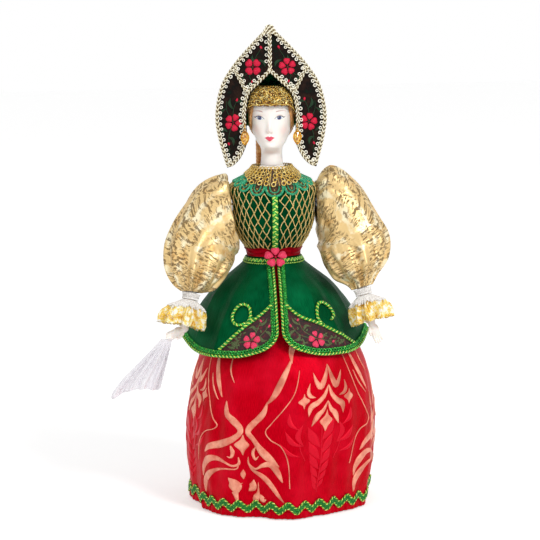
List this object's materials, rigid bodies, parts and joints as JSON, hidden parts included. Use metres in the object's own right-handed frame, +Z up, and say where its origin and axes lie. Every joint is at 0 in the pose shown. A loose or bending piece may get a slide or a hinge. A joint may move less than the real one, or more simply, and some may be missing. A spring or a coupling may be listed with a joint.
{
  "type": "costume doll",
  "caption": "Standing porcelain doll in festive dress: tall pointed headdress, gold puffed sleeves, flared peplum, long brocade skirt and a lace handkerchief.",
  "frame": {"origin": "centre of the underside of the base, on the floor, under the doll's axis", "axes": "+Z up; the doll faces -Y; +X is the doll's left side"},
  "size_m": [0.2309, 0.1602, 0.3969],
  "materials": {
    "porcelain": "glossy",
    "hair": "satin",
    "green_satin": "satin",
    "red_brocade": "satin",
    "red_ribbon": "satin",
    "gold_lame": "satin",
    "gold_braid": "satin",
    "green_braid": "satin",
    "dark_cloth": "matte",
    "gold_lace": "satin",
    "white_lace": "matte",
    "amber": "glossy",
    "gold_metal": "polished",
    "floss": "satin",
    "wire": "satin",
    "card": "matte",
    "wood": "matte",
    "wadding": "matte"
  },
  "bodies": {
    "doll": {"base_disc": "wood", "support_post": "wood", "card_cone": "card", "torso_core": "wadding", "shoulder_wire": "wire", "head": "porcelain", "hair": "hair", "gold_cap": "gold_lace", "headdress_board": "dark_cloth", "headdress_edge_braid": "gold_braid", "headdress_face_braid": "gold_braid", "headdress_ridge_braid": "gold_braid", "left_panel_braid": "gold_braid", "right_panel_braid": "gold_braid", "headdress_hood": "green_satin", "left_ear_ring": "gold_metal", "right_ear_ring": "gold_metal", "bodice": "green_satin", "yoke_lace": "green_braid", "collar": "gold_lace", "front_braid": "green_braid", "belt_ribbon": "red_ribbon", "waist_braid": "green_braid", "belt_flower": "floss", "left_peplum": "green_satin", "right_peplum": "green_satin", "left_peplum_braid": "green_braid", "right_peplum_braid": "green_braid", "left_corner_inset": "dark_cloth", "right_corner_inset": "dark_cloth", "left_inset_braid": "green_braid", "right_inset_braid": "green_braid", "skirt": "red_brocade", "hem_strip": "red_ribbon", "hem_trim": "green_braid"},
    "right_arm": {"right_arm_wire": "wire", "right_arm_padding": "wadding", "right_sleeve": "gold_lame", "right_cuff_band": "white_lace", "right_cuff_ruffle": "white_lace"},
    "right_hand": {"right_hand": "porcelain", "handkerchief": "white_lace"},
    "right_earring": {"right_earring_setting": "gold_metal", "right_earring_stone": "amber"},
    "left_arm": {"left_arm_wire": "wire", "left_arm_padding": "wadding", "left_sleeve": "gold_lame", "left_cuff_band": "white_lace", "left_cuff_ruffle": "white_lace"},
    "left_hand": {"left_hand": "porcelain"},
    "left_earring": {"left_earring_setting": "gold_metal", "left_earring_stone": "amber"},
    "plait": {"plait": "hair", "plait_tie": "red_ribbon"}
  },
  "joints": [
    {"name": "right_arm_swing", "type": "hinge", "parent": "doll", "child": "right_arm", "pos_m": [-0.0371, 0, 0.25], "axis": [-1, 0, 0], "range_deg": [0, 70]},
    {"name": "right_hand_turn", "type": "hinge", "parent": "right_arm", "child": "right_hand", "pos_m": [-0.0698, -0.035, 0.183], "axis": [-0.2296, -0.2196, -0.9482], "range_deg": [-35, 35]},
    {"name": "left_arm_swing", "type": "hinge", "parent": "doll", "child": "left_arm", "pos_m": [0.0371, 0, 0.25], "axis": [-1, 0, 0], "range_deg": [0, 70]},
    {"name": "left_hand_turn", "type": "hinge", "parent": "left_arm", "child": "left_hand", "pos_m": [0.0698, -0.035, 0.183], "axis": [0.2296, -0.2196, -0.9482], "range_deg": [-35, 35]},
    {"name": "right_earring_swing", "type": "hinge", "parent": "doll", "child": "right_earring", "pos_m": [-0.02275, -0.01483, 0.3135], "axis": [0.0872, 0.9962, 0], "range_deg": [-20, 20]},
    {"name": "left_earring_swing", "type": "hinge", "parent": "doll", "child": "left_earring", "pos_m": [0.01985, -0.01852, 0.3135], "axis": [0.0872, 0.9962, 0], "range_deg": [-20, 20]},
    {"name": "plait_swing", "type": "hinge", "parent": "doll", "child": "plait", "pos_m": [-0.008, 0.0156, 0.3005], "axis": [1, 0, 0], "range_deg": [0, 30]}
  ]
}
